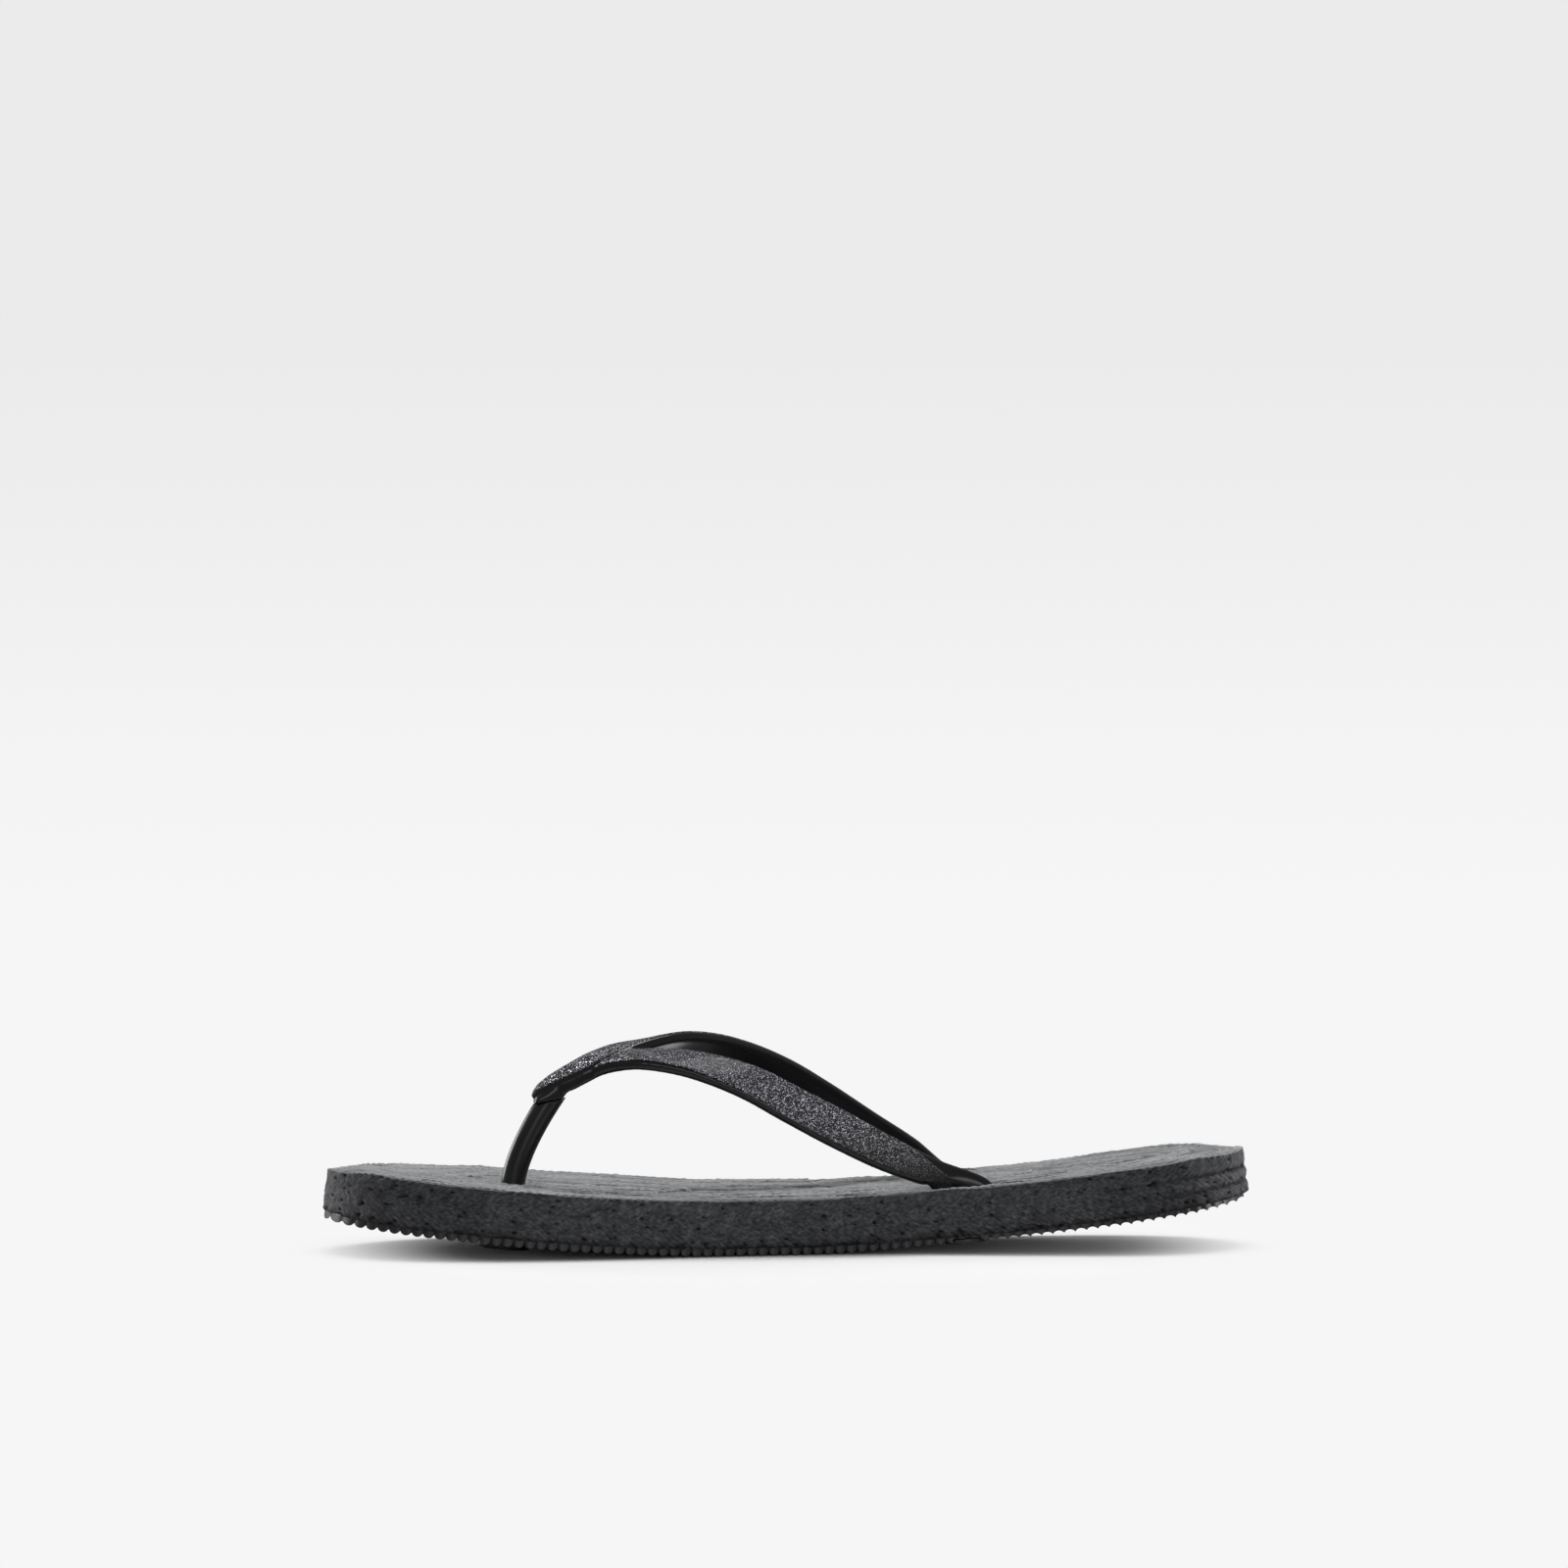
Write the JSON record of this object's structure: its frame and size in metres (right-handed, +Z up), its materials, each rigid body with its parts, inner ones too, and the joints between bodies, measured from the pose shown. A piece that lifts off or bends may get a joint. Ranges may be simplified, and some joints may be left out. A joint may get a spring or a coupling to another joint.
{
  "type": "flip flop",
  "caption": "Thong flip flop for the right foot: coiled braid sole, ribbed rubber outsole, two-arm strap with a glittery facing and a toe post held by plug discs.",
  "frame": {"origin": "on the ground, under the middle of the object's box", "axes": "+X from toe to heel, +Y from the medial side to the lateral side, +Z up"},
  "size_m": [0.2576, 0.0884, 0.0592],
  "materials": {
    "braid": "dyed jute braid, matte and hairy",
    "thread": "waxed sewing thread",
    "outsole_rubber": "moulded, satin",
    "strap_pvc": "soft moulded PVC, glossy",
    "glitter": "fine glitter in a clear coat",
    "post_pvc": "soft moulded PVC, high gloss",
    "plug_pvc": "soft moulded PVC, satin"
  },
  "bodies": {
    "root": {"braid_coil": "braid", "transverse_stitch_01": "thread", "transverse_stitch_02": "thread", "transverse_stitch_03": "thread", "transverse_stitch_04": "thread", "transverse_stitch_05": "thread", "transverse_stitch_06": "thread", "transverse_stitch_07": "thread", "transverse_stitch_08": "thread", "transverse_stitch_09": "thread", "transverse_stitch_10": "thread", "transverse_stitch_11": "thread", "rubber_outsole": "outsole_rubber", "thong_strap": "strap_pvc", "glitter_facing": "glitter", "toe_post": "post_pvc", "toe_plug_disc": "plug_pvc", "medial_plug_disc": "plug_pvc", "lateral_plug_disc": "plug_pvc"}
  },
  "joints": []
}
